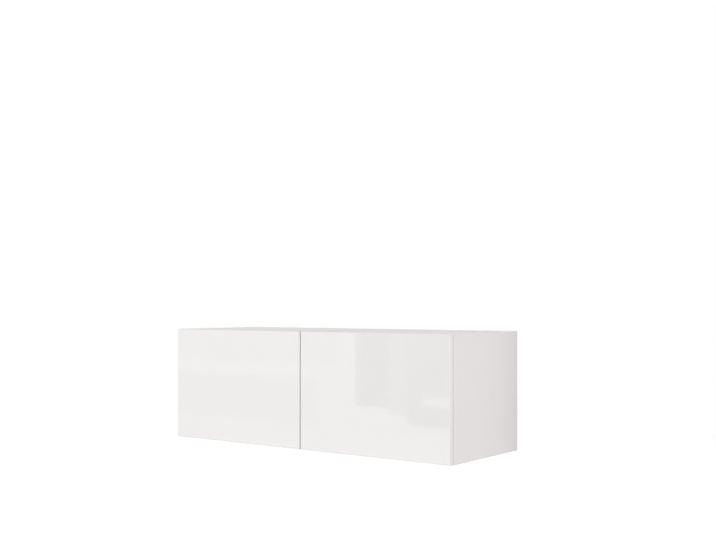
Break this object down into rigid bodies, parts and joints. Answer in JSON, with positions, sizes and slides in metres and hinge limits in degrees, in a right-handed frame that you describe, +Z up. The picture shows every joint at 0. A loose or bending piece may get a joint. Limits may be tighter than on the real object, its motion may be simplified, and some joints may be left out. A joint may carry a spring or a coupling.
{
  "type": "floating media console",
  "caption": "Low wall-hung media console with handleless drop-down flaps, each on cup hinges with a slotted stay and a push latch, hung on a rail.",
  "frame": {"origin": "centre of the flat rear face of the wall rail, where it lies on the wall", "axes": "+Z up, +Y into the wall, +X along the console to the right as seen from the front, the flaps face -Y"},
  "size_m": [1.125, 0.39, 0.375],
  "materials": {
    "gloss_front": "high-gloss white lacquer on board",
    "laminate": "matt white laminate on board",
    "hardboard": "thin white hardboard",
    "steel": "nickel-plated steel",
    "zinc": "die-cast zinc, nickel-plated",
    "white_plastic": "moulded white plastic",
    "grey_plastic": "moulded grey plastic",
    "clear_rubber": "soft clear pad"
  },
  "bodies": {
    "carcass": {"left_side_panel": "laminate", "right_side_panel": "laminate", "top_panel": "laminate", "bottom_panel": "laminate", "centre_divider": "laminate", "back_panel": "hardboard", "wall_rail": "steel", "cam_lock_left_top_front": "zinc", "cam_lock_left_top_rear": "zinc", "cam_lock_left_bottom_front": "zinc", "cam_lock_left_bottom_rear": "zinc", "cam_lock_right_top_front": "zinc", "cam_lock_right_top_rear": "zinc", "cam_lock_right_bottom_front": "zinc", "cam_lock_right_bottom_rear": "zinc", "left_cable_grommet": "white_plastic", "right_cable_grommet": "white_plastic", "left_hanger_hook": "zinc", "right_hanger_hook": "zinc", "left_hanger_housing": "grey_plastic", "right_hanger_housing": "grey_plastic", "left_hanger_cover": "white_plastic", "right_hanger_cover": "white_plastic", "left_outer_hinge_arm": "steel", "left_outer_hinge_plate": "zinc", "left_inner_hinge_arm": "steel", "left_inner_hinge_plate": "zinc", "right_outer_hinge_arm": "steel", "right_outer_hinge_plate": "zinc", "right_inner_hinge_arm": "steel", "right_inner_hinge_plate": "zinc", "left_latch_housing": "grey_plastic", "right_latch_housing": "grey_plastic", "left_stay_stud": "steel", "left_stay_nut": "zinc", "right_stay_stud": "steel", "right_stay_nut": "zinc"},
    "left_flap": {"left_flap": "gloss_front", "left_outer_hinge_cup": "steel", "left_outer_hinge_pin": "steel", "left_inner_hinge_cup": "steel", "left_inner_hinge_pin": "steel", "left_outer_bumper": "clear_rubber", "left_inner_bumper": "clear_rubber", "left_latch_strike": "steel", "left_stay_bracket": "steel"},
    "right_flap": {"right_flap": "gloss_front", "right_outer_hinge_cup": "steel", "right_outer_hinge_pin": "steel", "right_inner_hinge_cup": "steel", "right_inner_hinge_pin": "steel", "right_outer_bumper": "clear_rubber", "right_inner_bumper": "clear_rubber", "right_latch_strike": "steel", "right_stay_bracket": "steel"},
    "left_stay_arm": {"left_stay_arm": "steel"},
    "right_stay_arm": {"right_stay_arm": "steel"},
    "left_latch_plunger": {"left_latch_plunger": "white_plastic"},
    "right_latch_plunger": {"right_latch_plunger": "white_plastic"}
  },
  "joints": [
    {"name": "left_flap_hinge", "type": "hinge", "parent": "carcass", "child": "left_flap", "pos_m": [-0.282, -0.383, -0.29], "axis": [1, 0, 0], "range_deg": [0, 90]},
    {"name": "right_flap_hinge", "type": "hinge", "parent": "carcass", "child": "right_flap", "pos_m": [0.282, -0.383, -0.29], "axis": [1, 0, 0], "range_deg": [0, 90]},
    {"name": "left_stay_pivot", "type": "hinge", "parent": "left_flap", "child": "left_stay_arm", "pos_m": [-0.542, -0.363, -0.10124], "axis": [1, 0, 0], "range_deg": [-45, 0]},
    {"name": "right_stay_pivot", "type": "hinge", "parent": "right_flap", "child": "right_stay_arm", "pos_m": [0.542, -0.363, -0.10124], "axis": [1, 0, 0], "range_deg": [-45, 0]},
    {"name": "left_latch_slide", "type": "slide", "parent": "carcass", "child": "left_latch_plunger", "axis": [0, -1, 0], "range_m": [0, 0.014]},
    {"name": "right_latch_slide", "type": "slide", "parent": "carcass", "child": "right_latch_plunger", "axis": [0, -1, 0], "range_m": [0, 0.014]}
  ],
  "couplings": [
    {"joint": "left_stay_pivot", "follows": "left_flap_hinge", "ratio": -0.5},
    {"joint": "right_stay_pivot", "follows": "right_flap_hinge", "ratio": -0.5},
    {"joint": "left_latch_slide", "follows": "left_flap_hinge", "m_per_rad": 0.0089126},
    {"joint": "right_latch_slide", "follows": "right_flap_hinge", "m_per_rad": 0.0089126}
  ]
}
